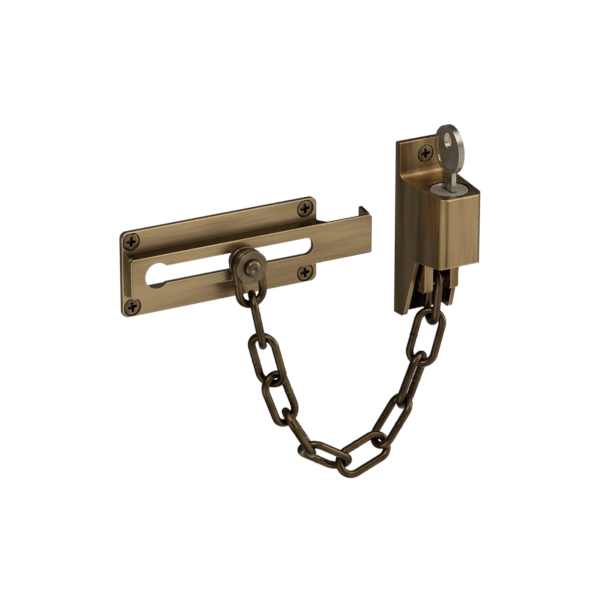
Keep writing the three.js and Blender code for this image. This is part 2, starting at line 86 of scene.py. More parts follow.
def grid(name, rings, closed=False):
    """Skin over rings of equally many points; capped at both ends unless the rings close up."""
    count, sides = len(rings), len(rings[0])
    vertices = [p for ring in rings for p in ring]
    faces = []
    for i in range(count if closed else count - 1):
        j = (i + 1) % count
        for k in range(sides):
            m = (k + 1) % sides
            faces.append((i * sides + k, i * sides + m, j * sides + m, j * sides + k))
    if not closed:
        faces.append(tuple(reversed(range(sides))))
        faces.append(tuple(range((count - 1) * sides, count * sides)))
    return add_object(name, vertices, faces)


PLANES = {"X": (1, 2, 0), "Y": (0, 2, 1), "Z": (0, 1, 2)}


def prism(name, outline, axis, low, high):
    """An outline drawn square to an axis and run along it from low to high."""
    first, second, third = PLANES[axis]
    rings = []
    for level in (low, high):
        ring = np.zeros((len(outline), 3))
        ring[:, first] = [p[0] for p in outline]
        ring[:, second] = [p[1] for p in outline]
        ring[:, third] = level
        rings.append(ring.tolist())
    obj = grid(name, rings)
    face_out(obj)
    return obj


def block(name, low, high):
    corners = [(low[0], low[1]), (high[0], low[1]), (high[0], high[1]), (low[0], high[1])]
    return prism(name, corners, "Z", low[2], high[2])


def lathe(name, profile, axis, centre, sides=64):
    """Turned piece: profile of (radius, height) along the axis, closed on the axis at both ends."""
    first, second, third = PLANES[axis]
    angles = np.linspace(0, 2 * math.pi, sides, endpoint=False)
    rings = []
    for radius, height in profile:
        ring = np.zeros((sides, 3))
        ring[:, first] = max(radius, 0.002) * np.cos(angles)
        ring[:, second] = max(radius, 0.002) * np.sin(angles)
        ring[:, third] = height
        rings.append((ring + np.array(centre)).tolist())
    obj = grid(name, rings)
    face_out(obj)
    return obj


def ring_piece(name, profile, axis, centre, sides=64):
    """Turned piece with a hole: the profile is a closed loop."""
    first, second, third = PLANES[axis]
    angles = np.linspace(0, 2 * math.pi, sides, endpoint=False)
    rings = []
    for radius, height in profile:
        ring = np.zeros((sides, 3))
        ring[:, first] = radius * np.cos(angles)
        ring[:, second] = radius * np.sin(angles)
        ring[:, third] = height
        rings.append((ring + np.array(centre)).tolist())
    obj = grid(name, rings, closed=True)
    face_out(obj)
    return obj


def face_out(obj):
    """Faces turned outward, judged by the signed volume."""
    mesh = obj.data
    mesh.calc_loop_triangles()
    v = np.array([p.co[:] for p in mesh.vertices])
    t = np.array([list(f.vertices) for f in mesh.loop_triangles])
    volume = np.einsum("ij,ij->i", v[t[:, 0]], np.cross(v[t[:, 1]], v[t[:, 2]])).sum()
    if volume < 0:
        mesh.flip_normals()


def rounded(points, radius, steps=5):
    """An outline with each corner rounded; radius is one number or one per corner."""
    count = len(points)
    radii = radius if isinstance(radius, (list, tuple)) else [radius] * count
    out = []
    for i, r in enumerate(radii):
        p = np.array(points[i], float)
        before = np.array(points[i - 1], float) - p
        after = np.array(points[(i + 1) % count], float) - p
        a, b = before / np.linalg.norm(before), after / np.linalg.norm(after)
        turn = math.acos(max(-1, min(1, float(a @ b))))
        if r <= 0 or turn > math.pi - 0.02:
            out.append(tuple(p))
            continue
        run = min(r / math.tan(turn / 2), np.linalg.norm(before) * 0.49, np.linalg.norm(after) * 0.49)
        inner = p + (a + b) / np.linalg.norm(a + b) * (run / math.cos(turn / 2))
        start, end = p + a * run - inner, p + b * run - inner
        cosine = float(start @ end) / float(np.linalg.norm(start) * np.linalg.norm(end))
        sweep = math.acos(max(-1, min(1, cosine)))
        for s in np.linspace(0, 1, steps + 1):
            w0, w1 = math.sin((1 - s) * sweep) / math.sin(sweep), math.sin(s * sweep) / math.sin(sweep)
            out.append(tuple(inner + start * w0 + end * w1))
    return out


def oval(centre, radii, steps=64):
    angles = np.linspace(0, 2 * math.pi, steps, endpoint=False)
    return [(centre[0] + radii[0] * math.cos(a), centre[1] + radii[1] * math.sin(a)) for a in angles]


def bake(obj):
    """Applies an object's modifiers and drops them."""
    evaluated = obj.evaluated_get(bpy.context.evaluated_depsgraph_get())
    mesh = bpy.data.meshes.new_from_object(evaluated)
    obj.modifiers.clear()
    obj.data = mesh
    return obj


def combine(obj, other, operation):
    modifier = obj.modifiers.new(operation, "BOOLEAN")
    modifier.operation = operation
    modifier.solver = "MANIFOLD"
    modifier.object = other
    bpy.context.view_layer.update()
    bake(obj)
    bpy.data.objects.remove(other)
    return obj


def join(obj, *others):
    for other in others:
        combine(obj, other, "UNION")
    return obj


def cut(obj, *others):
    for other in others:
        combine(obj, other, "DIFFERENCE")
    return obj


def soften(obj, width, segments=3, angle=32):
    bevel = obj.modifiers.new("soft_edges", "BEVEL")
    bevel.width = width * MM
    bevel.segments = segments
    bevel.limit_method = "ANGLE"
    bevel.angle_limit = math.radians(angle)
    bevel.use_clamp_overlap = True
    bevel.miter_outer = "MITER_ARC"
    bpy.context.view_layer.update()
    bake(obj)
    return smooth(obj)


def smooth(obj, weighted=True):
    obj.data.polygons.foreach_set("use_smooth", [True] * len(obj.data.polygons))
    obj.data.set_sharp_from_angle(angle=math.radians(50))
    if weighted:
        normals = obj.modifiers.new("normals", "WEIGHTED_NORMAL")
        normals.weight = 80
        normals.keep_sharp = True
        bpy.context.view_layer.update()
        bake(obj)
    return obj


def place(obj, node, material):
    """The piece stands for a CAD node: it takes the finish, rides on the node's body and the node is hidden.
    """
    obj.data.materials.clear()
    obj.data.materials.append(material)
    body = next(name for name, nodes in frame["record"]["behaviour"]["bodies"].items() if node in nodes)
    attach(obj, body)
    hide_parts(node)
    return obj


# ---- finishes ----------------------------------------------------------------------------
class Nodes:
    """Short names for building a node tree."""

    def __init__(self, material):
        material.use_nodes = True
        self.tree = material.node_tree
        self.tree.nodes.clear()

    def add(self, kind, **settings):
        node = self.tree.nodes.new(kind)
        for key, value in settings.items():
            setattr(node, key, value)
        return node

    def feed(self, socket, value):
        if isinstance(value, bpy.types.NodeSocket):
            self.tree.links.new(value, socket)
        elif value is not None:
            socket.default_value = value

    def maths(self, operation, a, b=None, c=None, clamp=False):
        node = self.add("ShaderNodeMath", operation=operation, use_clamp=clamp)
        for socket, value in zip(node.inputs, (a, b, c)):
            self.feed(socket, value)
        return node.outputs[0]

    def mix(self, factor, a, b):
        node = self.add("ShaderNodeMix", data_type="RGBA")
        self.feed(node.inputs[0], factor)
        self.feed(node.inputs[6], a)
        self.feed(node.inputs[7], b)
        return node.outputs[2]

    def span(self, value, low, high, to_low=0.0, to_high=1.0):
        node = self.add("ShaderNodeMapRange", clamp=True, interpolation_type="SMOOTHSTEP")
        for socket, v in zip(node.inputs, (value, low, high, to_low, to_high)):
            self.feed(socket, v)
        return node.outputs[0]

    def noise(self, coordinates, stretch, detail=3.0, offset=(0, 0, 0)):
        mapping = self.add("ShaderNodeMapping")
        self.feed(mapping.inputs[0], coordinates)
        mapping.inputs["Scale"].default_value = stretch
        mapping.inputs["Location"].default_value = offset
        noise = self.add("ShaderNodeTexNoise")
        self.feed(noise.inputs["Vector"], mapping.outputs[0])
        noise.inputs["Scale"].default_value = 1.0
        noise.inputs["Detail"].default_value = detail
        return noise.outputs[0]


def rgb(red, green, blue):
    """Linear colour from 0-255 display values."""
    def linear(c):
        c /= 255
        return c / 12.92 if c <= 0.04045 else ((c + 0.055) / 1.055) ** 2.4
    return (linear(red), linear(green), linear(blue), 1.0)


# Sizes of the finishes' texture in millimetres, and where in the noise it is taken from.
STREAK_WIDTH, GRAIN_SIZE, SPECKLE_SIZE = 0.25, 0.5, 0.22
# how far the painted edge highlight and the painted shade in hollows reach
EDGE_REACH, HOLLOW_REACH = 0.7, 2.2
DRIFT_SEED, GRAIN_SEED = (3.1, 1.7, 5.2), (7.0, 2.0, 1.0)


def scaled(colour, factor, lift=0.0):
    return tuple(min(1.0, c * factor + lift) for c in colour[:3]) + (1.0,)


def metal(name, bright, deep, roughness, brush=(1, 1, 1), grain=0.25, wear=0.5, edge=0.5,
          crevice=0.6, tangent=None, anisotropy=0.0, patch=14.0, bump=0.02, speckle=0.0,
          open_at=0.85, metallic=1.0, waves=0.0):
    """Plated metal: colour drifts between bright and deep in patches, streaked along brush, with a painted
    highlight on the edges and painted shade in the crevices. patch, bump and waves are in millimetres."""
    material = bpy.data.materials.new(name)
    n = Nodes(material)
    where = n.add("ShaderNodeTexCoord").outputs["Object"]
    per_mm = 1 / MM
    drift = n.noise(where, tuple(per_mm / (patch * s) for s in brush), 2.0, DRIFT_SEED)
    streak = n.noise(where, tuple(per_mm / (STREAK_WIDTH * s * s) for s in brush), 2.0)
    fine = n.noise(where, (per_mm / GRAIN_SIZE,) * 3, 4.0, GRAIN_SEED)

    streaks = n.maths("MULTIPLY", n.maths("SUBTRACT", streak, 0.5), grain * 4)
    tone = n.maths("ADD", n.span(drift, 0.32, 0.68, 0, 1), streaks)
    colour = n.mix(n.maths("MULTIPLY", tone, wear, clamp=True), bright, deep)
    # painted shade: crevices found by ambient occlusion are coloured towards a darkened deep tone
    shade = hollow_mask(n, open_at, crevice)
    # painted highlight: rounded edges outside the shade are coloured brighter
    edge_highlight = n.maths("MULTIPLY", edge_mask(n, edge), n.maths("SUBTRACT", 1.0, shade))
    colour = n.mix(edge_highlight, colour, scaled(bright, 1.6, 0.04))
    colour = n.mix(shade, colour, scaled(deep, 0.12))
    if speckle:
        dots = n.noise(where, (per_mm / SPECKLE_SIZE,) * 3, 1.0)
        colour = n.mix(n.span(dots, 0.55, 0.7, 0, speckle), colour, scaled(deep, 0.35))

    shader = n.add("ShaderNodeBsdfPrincipled")
    n.feed(shader.inputs["Base Color"], colour)
    shader.inputs["Metallic"].default_value = metallic
    shader.inputs["Anisotropic"].default_value = anisotropy
    rough = n.maths("ADD", roughness, n.maths("MULTIPLY", n.maths("SUBTRACT", fine, 0.5), 0.12))
    rough = n.maths("ADD", rough, n.maths("MULTIPLY", shade, 0.3), clamp=True)
    n.feed(shader.inputs["Roughness"], rough)
    if tangent:
        direction = n.add("ShaderNodeCombineXYZ")
        for socket, value in zip(direction.inputs, tangent):
            socket.default_value = value
        n.feed(shader.inputs["Tangent"], direction.outputs[0])
    n.feed(shader.inputs["Normal"], relief(n, ((drift, waves), (streak, bump))))
    n.tree.links.new(shader.outputs[0], n.add("ShaderNodeOutputMaterial").inputs[0])
    return material


def edge_mask(n, most):
    """Painted highlight: rises to most on edges, where the normal of a rounded edge leaves the face's own.
    """
    bevel = n.add("ShaderNodeBevel", samples=6)
    bevel.inputs["Radius"].default_value = EDGE_REACH * MM
    facing = n.add("ShaderNodeVectorMath", operation="DOT_PRODUCT")
    n.feed(facing.inputs[0], bevel.outputs[0])
    n.feed(facing.inputs[1], n.add("ShaderNodeNewGeometry").outputs["Normal"])
    return n.span(facing.outputs["Value"], 0.995, 0.93, 0, most)


def hollow_mask(n, open_at, most):
    """Painted shade: rises to most in crevices, found by ambient occlusion; surfaces more open than open_at
    stay clear.
    """
    hollow = n.add("ShaderNodeAmbientOcclusion", samples=8)
    hollow.inputs["Distance"].default_value = HOLLOW_REACH * MM
    return n.span(hollow.outputs["AO"], open_at - 0.5, open_at, most, 0.0)


def relief(n, layers):
    """Bump from (height, depth in millimetres) pairs, one on top of the other."""
    normal = None
    for height, depth in layers:
        if depth:
            bump = n.add("ShaderNodeBump")
            bump.inputs["Strength"].default_value = 0.5
            bump.inputs["Distance"].default_value = depth * MM
            n.feed(bump.inputs["Height"], height)
            n.feed(bump.inputs["Normal"], normal)
            normal = bump.outputs[0]
    return normal


ALONG_X, ALONG_Z = (7, 1, 1), (1, 1, 7)
track_brass = metal(
    "track_brass", rgb(206, 177, 132), rgb(110, 84, 52), 0.31, brush=ALONG_X, grain=0.4, wear=0.5,
    tangent=(1, 0, 0), anisotropy=0.25, crevice=0.5, edge=0.7, open_at=0.8, patch=11, waves=0.25)
housing_brass = metal(
    "housing_brass", rgb(200, 170, 124), rgb(114, 80, 42), 0.32, brush=ALONG_Z, grain=0.25, wear=0.75,
    tangent=(0, 0, 1), anisotropy=0.25, crevice=0.9, edge=0.7, open_at=0.95, patch=9, waves=0.25)
# painted shade for the countersinks round the screw heads
sink_shade = metal(
    "sink_shade", rgb(70, 54, 34), rgb(38, 28, 18), 0.45, wear=0.6, crevice=0.9, edge=0.0, patch=3)
# painted shade for the channel's outer walls
wall_shade = metal(
    "wall_shade", rgb(92, 72, 46), rgb(54, 40, 24), 0.36, brush=ALONG_X, wear=0.6, crevice=0.8,
    edge=0.2)
screw_bronze = metal(
    "screw_bronze", rgb(150, 128, 98), rgb(80, 64, 46), 0.36, wear=0.6, crevice=1.0, patch=3,
    edge=0.3, open_at=0.9)
button_bronze = metal(
    "button_bronze", rgb(150, 130, 102), rgb(90, 74, 54), 0.33, wear=0.6, crevice=0.9, patch=5,
    edge=0.6)
chain_bronze = metal(
    "chain_bronze", rgb(122, 98, 68), rgb(74, 56, 36), 0.28, wear=0.7, crevice=0.9, patch=9,
    grain=0.06, edge=0.0, bump=0.0)
key_nickel = metal(
    "key_nickel", rgb(214, 204, 186), rgb(160, 146, 122), 0.27, wear=0.5, crevice=0.5, patch=5,
    grain=0.1, edge=0.4, bump=0.0, waves=0.2)
face_nickel = metal(
    "face_nickel", rgb(226, 216, 204), rgb(158, 146, 132), 0.42, wear=0.6, crevice=0.7, patch=2,
    speckle=0.5, metallic=0.5)
plain_steel = metal("plain_steel", rgb(150, 148, 144), rgb(96, 94, 90), 0.38, wear=0.5, crevice=0.8)
wafer_brass = metal("wafer_brass", rgb(206, 172, 100), rgb(150, 118, 60), 0.3, wear=0.4, crevice=0.5)
black_steel = metal(
    "black_steel", rgb(34, 32, 29), rgb(14, 13, 11), 0.45, wear=0.6, crevice=0.8, edge=0.1)


# ---- track -------------------------------------------------------------------------------
track_low, track_high = box_mm("track")
LEFT, RIGHT_END = track_low[0], track_high[0]
HALF_HEIGHT, FACE = track_high[2], track_low[1]
SCREWS = {f"track_screw_{i}": middle(f"track_screw_{i}") for i in (1, 2, 3, 4)}
PLATE_RIGHT = SCREWS["track_screw_2"][0] + (SCREWS["track_screw_1"][0] - LEFT) + 1.2
CHANNEL_LEFT = LEFT + 1.0
PLATE, PLATE_CORNER = -2.6, 2.6
FACE_HALF, ROOT_HALF = 8.13, 8.85
WALL, LIP, LIP_ROOT_HALF = 2.1, 1.9, 9.2
SLOT_HALF, SLOT_LEFT, SLOT_RIGHT = 3.5, -29.7, 35
KEYHOLE_RADIUS, FACE_CORNER = 5.2, 1.7
SINK_RADIUS, SINK_HOLE, SINK_DEPTH = 3.8, 2.05, 1.75


def sink_cutter(x, surface, z):
    beyond = 3.0
    profile = [(SINK_HOLE, beyond), (SINK_HOLE, surface + SINK_DEPTH), (SINK_RADIUS, surface),
               (SINK_RADIUS, surface - 2.0)]
    return lathe("sink", profile, "Y", (x, 0, z), 48)


def shade_sinks(obj, screws):
    """The faces inside the countersinks, round the heads, are painted dark as shade."""
    obj.data.materials.append(sink_shade)
    spots = [(middle(screw), box_mm(screw)[0][1]) for screw in screws]
    for face in obj.data.polygons:
        x, y, z = (c / MM for c in face.center)
        near = [top for spot, top in spots if math.hypot(x - spot[0], z - spot[2]) < SINK_RADIUS]
        if any(y > top - 0.1 for top in near):
            face.material_index = 1


def shade_walls(obj, front, back):
    """The channel's outer walls are painted dark as shade between the face and the flange."""
    obj.data.materials.append(wall_shade)
    for face in obj.data.polygons:
        outer = abs(face.normal.z) > 0.9 and abs(face.center.z) / MM > FACE_HALF - 0.5
        if outer and front < face.center.y / MM < back:
            face.material_index = 2


def corner_cutter(x, z, along, up):
    """Takes a square corner of the face down to a round one; along and up point out of it."""
    radius = FACE_CORNER
    angles = np.linspace(0, math.pi / 2, 9)
    arc = [(x - along * radius * (1 - math.cos(a)), z - up * radius * (1 - math.sin(a))) for a in angles]
    outline = arc + [(x - along * radius, z + up), (x + along, z + up), (x + along, z - up * radius)]
    return prism("corner", outline, "Y", FACE - 1, FACE + 2.0)


def track_shell():
    """Plate, channel, tongue and lip, each rounded on its own and then joined."""
    corners = [(LEFT, -HALF_HEIGHT), (PLATE_RIGHT, -HALF_HEIGHT), (PLATE_RIGHT, HALF_HEIGHT),
               (LEFT, HALF_HEIGHT)]
    body = prism("track_body", rounded(corners, PLATE_CORNER, 8), "Y", 0, PLATE)
    section = [(0, -ROOT_HALF), (0, ROOT_HALF), (FACE, FACE_HALF), (FACE, -FACE_HALF)]
    channel = prism("channel", section, "X", CHANNEL_LEFT, PLATE_RIGHT)
    profile = [
        (PLATE_RIGHT - 3, FACE), (PLATE_RIGHT - 3, PLATE), (PLATE_RIGHT, PLATE),
        (PLATE_RIGHT + 2.5, FACE + WALL), (RIGHT_END - LIP, FACE + WALL),
        (RIGHT_END - LIP, FACE + 2 * WALL), (RIGHT_END, FACE + 2 * WALL), (RIGHT_END, FACE)]
    tongue = prism("tongue", profile, "Z", -FACE_HALF, FACE_HALF)
    section = [(0, -LIP_ROOT_HALF), (0, LIP_ROOT_HALF), (FACE + WALL, FACE_HALF), (FACE + WALL, -FACE_HALF)]
    lip = prism("lip", section, "X", RIGHT_END - LIP, RIGHT_END)
    for piece, width in ((body, 0.6), (channel, 0.85), (tongue, 0.85), (lip, 0.5)):
        soften(piece, width, 4)
    return join(body, channel, tongue, lip)


def build_track():
    body = track_shell()
    section = [(3, -6.8), (3, 6.8), (FACE + WALL, 6.3), (FACE + WALL, -6.3)]
    pocket = prism("pocket", section, "X", LEFT + 3.1, PLATE_RIGHT - 1.3)
    angles = np.linspace(-math.pi / 2, math.pi / 2, 25)
    outline = [(SLOT_LEFT, SLOT_HALF), (SLOT_LEFT, -SLOT_HALF)]
    outline += [(SLOT_RIGHT + SLOT_HALF * math.cos(a), SLOT_HALF * math.sin(a)) for a in angles]
    slot = prism("slot", outline, "Y", FACE - 2, FACE + 4)
    outline = oval((SLOT_LEFT, 0), (KEYHOLE_RADIUS, KEYHOLE_RADIUS), 72)
    cut(body, pocket, slot, prism("keyhole", outline, "Y", FACE - 2, FACE + 4))
    for up in (-1, 1):
        cut(body, corner_cutter(CHANNEL_LEFT, up * FACE_HALF, -1, up))
        cut(body, corner_cutter(RIGHT_END, up * FACE_HALF, 1, up))
    for spot in SCREWS.values():
        cut(body, sink_cutter(spot[0], PLATE, spot[2]))
    soften(body, 0.25, 2)
    place(body, "track", track_brass)
    shade_sinks(body, SCREWS)
    shade_walls(body, FACE + 0.5, PLATE + 0.3)


# ---- screws ------------------------------------------------------------------------------
SHANK, HEAD_DEPTH = 1.6, 1.65
CROSS = {"arm": 2.1, "half": 0.6, "depth": 1.5}
SCREW_TURNS = {
    "track_screw_1": -4, "track_screw_2": 5, "track_screw_3": 8, "track_screw_4": 3,
    "tab_screw": 4, "backplate_screw_1": 25, "backplate_screw_2": 55}


def cross_bar(x, z, angle, top):
    """One bar of the cross recess, wider in the middle than at its ends."""
    arm, half = CROSS["arm"], CROSS["half"]
    u = np.array([math.cos(angle), math.sin(angle)])
    v = np.array([-math.sin(angle), math.cos(angle)])
    quarter = [(arm, -half * 0.8), (arm, half * 0.8), (0.6, half * 1.25), (-0.6, half * 1.25),
               (-arm, half * 0.8), (-arm, -half * 0.8), (-0.6, -half * 1.25), (0.6, -half * 1.25)]
    outline = [(x + (u * a + v * b)[0], z + (u * a + v * b)[1]) for a, b in quarter]
    return prism("bar", outline, "Y", top - 1, top + CROSS["depth"])


def build_screw(node, turn):
    low, high = box_mm(node)
    x, z = middle(node)[0], middle(node)[2]
    top = low[1]
    profile = [(0.0, top + 0.02), (1.6, top), (2.9, top + 0.04), (3.25, top + 0.14), (3.36, top + 0.3),
               (3.3, top + 0.5), (SHANK, top + HEAD_DEPTH), (SHANK, high[1]), (0.0, high[1])]
    head = lathe(node + "_head", profile, "Y", (x, 0, z), 56)
    angle = math.radians(turn)
    cut(head, cross_bar(x, z, angle, top), cross_bar(x, z, angle + math.pi / 2, top))
    soften(head, 0.08, 2, 40)
    place(head, node, screw_bronze)


# ---- button ------------------------------------------------------------------------------
INNER_HEAD, NECK, WASHER_BORE = 4.8, 2.0, 2.3
WASHER_EDGES = {"slider_back_washer": 0.3, "slider_sleeve": 0.1, "slider_front_washer": 0.35}


def build_rivet():
    low, high = box_mm("slider_rivet")
    centre = middle("slider_rivet")
    inner, outer = high[1], low[1]
    neck = box_mm("slider_back_washer")[1][1] + 2.7
    head = box_mm("slider_front_washer")[0][1] - 0.3
    rise = head - outer
    profile = [
        (0, inner), (INNER_HEAD - 0.4, inner), (INNER_HEAD, inner - 0.4), (INNER_HEAD, neck + 0.3),
        (INNER_HEAD - 0.3, neck), (NECK, neck), (NECK, head), (3.3, head), (3.5, head - 0.2 * rise),
        (3.4, head - 0.45 * rise), (3.0, head - 0.72 * rise), (2.3, head - 0.9 * rise), (1.5, outer),
        (1.05, outer + 0.05), (0.75, outer + 0.35), (0.35, outer + 0.5), (0, outer + 0.52)]
    rivet = lathe("rivet", profile, "Y", (centre[0], 0, centre[2]), 64)
    place(smooth(rivet), "slider_rivet", button_bronze)


def build_button():
    build_rivet()
    centre = middle("slider_rivet")
    for node, soft in WASHER_EDGES.items():
        low, high = box_mm(node)
        radius = (high[0] - low[0]) / 2
        corners = [(WASHER_BORE, low[1]), (radius, low[1]), (radius, high[1]), (WASHER_BORE, high[1])]
        loop = rounded(corners, [0.1, soft, soft, 0.1], 4)
        piece = ring_piece(node + "_turned", loop, "Y", (centre[0], 0, centre[2]), 80)
        place(smooth(piece), node, button_bronze)


# ---- chain -------------------------------------------------------------------------------
ARC_STEPS, LEG_STEPS, WIRE_SIDES = 26, 25, 26
# the weld is a low ridge between two shallow nips: size as a share of the wire's radius, place and
# spread in millimetres along the leg
WELD = {"ridge": 0.045, "spread": 0.75, "nip": 0.05, "nip_at": 1.25, "nip_spread": 0.3, "drift": 0.6}


def link_path(radius, half):
    """Centre line of a link: (across, along, outward across, outward along) for each ring."""
    path = []
    for end in (1, -1):
        for s in np.linspace(0, 1, ARC_STEPS + 1):
            cosine, sine = end * math.cos(math.pi * s), math.sin(math.pi * s)
            path.append((radius * cosine, end * (half + radius * sine), cosine, end * sine))
        for s in np.linspace(0, 1, LEG_STEPS + 1)[1:-1]:
            path.append((-end * radius, end * half * (1 - 2 * s), -float(end), 0.0))
    return path


def weld_swell(run):
    ridge = WELD["ridge"] * math.exp(-(run / WELD["spread"]) ** 2)
    return ridge - WELD["nip"] * math.exp(-((abs(run) - WELD["nip_at"]) / WELD["nip_spread"]) ** 2)


def build_link(node, number):
    """A bent wire link with its weld on one leg, a little off the middle and on alternate sides."""
    centre, (along, across, flat), (length, width, wire) = own_axes(node)
    radius, half = (width - wire) / 2, (length - width) / 2
    weld_side = 1 if number % 2 else -1
    rings = []
    for a, b, out_across, out_along in link_path(radius, half):
        run = b - WELD["drift"] * math.sin(number * 2.4)
        on_weld = a * weld_side < 0 and abs(b) < half
        r = wire / 2 * (1 + (weld_swell(run) if on_weld else 0))
        spot = centre + across * a + along * b
        outward = across * out_across + along * out_along
        ring = []
        for k in range(WIRE_SIDES):
            angle = 2 * math.pi * k / WIRE_SIDES
            ring.append((spot + outward * (r * math.cos(angle)) + flat * (r * math.sin(angle))).tolist())
        rings.append(ring)
    obj = grid(node + "_wire", rings, closed=True)
    face_out(obj)
    place(smooth(obj, False), node, chain_bronze)


# ---- lock housing ------------------------------------------------------------------------
house_low, house_high = box_mm("lock_housing")
LOCK_X = (house_low[0] + house_high[0]) / 2
HALF_WIDTH = (house_high[0] - house_low[0]) / 2
DEPTH, BOTTOM, TAB_TOP = -house_low[1], house_low[2], house_high[2]
AXIS_Y = middle("cylinder_plug")[1]
DRAFT, TAB = 0.079, 3.3
HOUSING_CORNER, HOUSING_WALL, FACE_HOLE = 4.4, 1.8, 8.2


def plan(inset, depth):
    """Plan of the drafted housing, inset from its outer faces."""
    def half(y):
        return HALF_WIDTH - inset - DRAFT * y
    outline = [(LOCK_X - half(-2), 2), (LOCK_X - half(depth), -depth), (LOCK_X + half(depth), -depth),
               (LOCK_X + half(-2), 2)]
    corner = HOUSING_CORNER - inset
    return rounded(outline, [0, corner, corner, 0], 6)


def build_housing():
    wide = (LOCK_X - 20, LOCK_X + 20)
    body = prism("housing_body", plan(0, DEPTH), "Z", BOTTOM - 3, TAB_TOP + 3)
    side = [(0, BOTTOM), (0, TAB_TOP), (-TAB, TAB_TOP - 0.2), (-TAB, 19.1), (-DEPTH, 18.2), (-DEPTH, -11),
            (-14.6, -13.2), (-6.6, BOTTOM)]
    side = rounded(side, [0, 0.9, 0.9, 2.8, 1.3, 2.2, 0.9, 2.4], 8)
    combine(body, prism("side", side, "X", *wide), "INTERSECT")
    soften(body, 1.0, 5)
    inside = [(2, 15.9), (2 - DEPTH, 15.2), (2 - DEPTH, BOTTOM - 3), (2, BOTTOM - 3)]
    room = prism("room", plan(HOUSING_WALL, DEPTH - 2), "Z", BOTTOM - 6, TAB_TOP)
    combine(room, prism("inside", inside, "X", *wide), "INTERSECT")
    hole = lathe("hole", [(FACE_HOLE, 13.0), (FACE_HOLE, 24.0)], "Z", (LOCK_X, AXIS_Y, 0), 96)
    tab = middle("tab_screw")
    cut(body, room, hole, sink_cutter(tab[0], -TAB, tab[2]))
    soften(body, 0.3, 2)
    place(body, "lock_housing", housing_brass)
    shade_sinks(body, ["tab_screw"])


def build_backplate():
    low, high = box_mm("lock_backplate")
    corners = [(low[0], low[2]), (high[0], low[2]), (high[0], high[2]), (low[0], high[2])]
    body = prism("backplate", rounded(corners, 1.0, 5), "Y", high[1], low[1])
    for node in ("backplate_screw_1", "backplate_screw_2"):
        spot = middle(node)
        cut(body, sink_cutter(spot[0], low[1], spot[2]))
    soften(body, 0.15, 2)
    place(body, "lock_backplate", black_steel)


# ---- yoke --------------------------------------------------------------------------------
FIN_BACK, FIN_TOP, BRIDGE, FIN_GAP = -4, -11.8, -16.4, 4.1
POST = {"half": 3.6, "front": -13.7, "back": -11.5, "from": -12.5}
SHELF = {"half": 3.6, "front": -15.6, "back": -11.5, "from": -3.9}
PIN_BORE, PIN_CHAMFER = 2.2, 0.3


def yoke_block(name, sizes, top):
    low = (LOCK_X - sizes["half"], sizes["front"], sizes["from"])
    return block(name, low, (LOCK_X + sizes["half"], sizes["back"], top))


def build_yoke():
    low, high = box_mm("lock_yoke")
    front, bottom = low[1], low[2]
    fin = [(FIN_BACK, bottom), (FIN_BACK, FIN_TOP), (front, FIN_TOP), (front, bottom)]
    body = prism("yoke", rounded(fin, [0.6, 0, 0, 1.8], 6), "X", low[0], high[0])
    cut(body, block("between", (LOCK_X - FIN_GAP, front - 2, bottom - 2), (LOCK_X + FIN_GAP, 0, BRIDGE)))
    join(body, yoke_block("post", POST, high[2]), yoke_block("shelf", SHELF, high[2]))
    pin = middle("yoke_pin")
    bore = [(PIN_BORE, low[0] - 2), (PIN_BORE, high[0] + 2)]
    cut(body, lathe("bore", bore, "X", (0, pin[1], pin[2]), 48))
    soften(body, 0.45, 3)
    place(body, "lock_yoke", housing_brass)


def build_pin():
    low, high = box_mm("yoke_pin")
    pin, radius, chamfer = middle("yoke_pin"), (high[1] - low[1]) / 2, PIN_CHAMFER
    profile = [(0, low[0]), (radius - chamfer, low[0]), (radius, low[0] + chamfer),
               (radius, high[0] - chamfer), (radius - chamfer, high[0]), (0, high[0])]
    place(smooth(lathe("pin", profile, "X", (0, pin[1], pin[2]), 40)), "yoke_pin", plain_steel)


# ---- lock cylinder and key ---------------------------------------------------------------
BARREL = {"outer": 7.8, "bore": 5.9, "groove": 6.8, "groove_bottom": 13.5, "groove_top": 14.9}
PLUG_RADIUS, KEYWAY_HALF, KEYWAY_REACH = 5.6, 1.3, 4.2
WAFER_SLOT_HALF, WAFER_SLOT_RISE = 2.85, 0.75
WAFERS = [f"wafer_{number}" for number in (1, 2, 3, 4)]


def build_barrel():
    low, high = box_mm("cylinder_body")
    outer, groove = BARREL["outer"], BARREL["groove"]
    start, end = BARREL["groove_bottom"], BARREL["groove_top"]
    corners = [(BARREL["bore"], low[2]), (outer, low[2]), (outer, start), (groove, start), (groove, end),
               (outer, end), (outer, high[2]), (BARREL["bore"], high[2])]
    barrel = ring_piece("barrel", rounded(corners, 0.12, 2), "Z", (LOCK_X, AXIS_Y, 0), 72)
    place(smooth(barrel), "cylinder_body", plain_steel)


